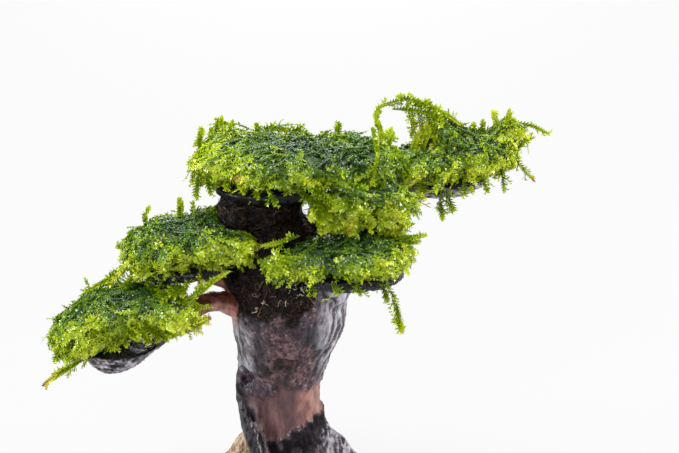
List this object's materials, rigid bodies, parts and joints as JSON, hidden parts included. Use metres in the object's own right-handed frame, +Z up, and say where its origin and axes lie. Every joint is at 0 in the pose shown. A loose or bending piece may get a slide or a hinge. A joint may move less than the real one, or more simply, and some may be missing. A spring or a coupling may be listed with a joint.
{
  "type": "aquarium moss on driftwood",
  "caption": "Mini driftwood tree on spreading roots, its short limbs ending in flat slabs that carry thick mats of aquarium moss with trailing strands.",
  "frame": {"origin": "on the floor under the stem, at the middle of its flat cut foot", "axes": "+Z up the stem, +X to the viewer's right seen from the front, -Y towards the viewer at the front"},
  "size_m": [0.1314, 0.0583, 0.1078],
  "materials": {
    "wet_bark": "wet dark bark with a red-brown cast",
    "red_wood": "smooth wet red-brown wood",
    "tan_root": "pale tan root, matt",
    "dark_slab": "black waterlogged wood, smooth and wet",
    "moss": "wet feathery moss, dark green with yellow-green tips"
  },
  "bodies": {
    "root": {"trunk": "wet_bark", "root_right": "wet_bark", "root_left": "tan_root", "root_front": "wet_bark", "root_front_right": "wet_bark", "root_back": "wet_bark", "limb_lower_left": "red_wood", "limb_middle_left": "wet_bark", "limb_lower_right": "wet_bark", "limb_upper_right": "wet_bark", "slab_crown": "dark_slab", "slab_lower_left": "dark_slab", "slab_middle_left": "dark_slab", "slab_lower_right": "dark_slab", "slab_upper_right": "dark_slab", "moss_crown": "moss", "moss_upper_right": "moss", "moss_lower_right": "moss", "moss_drape": "moss", "moss_middle_left": "moss", "moss_lower_left": "moss"}
  },
  "joints": []
}
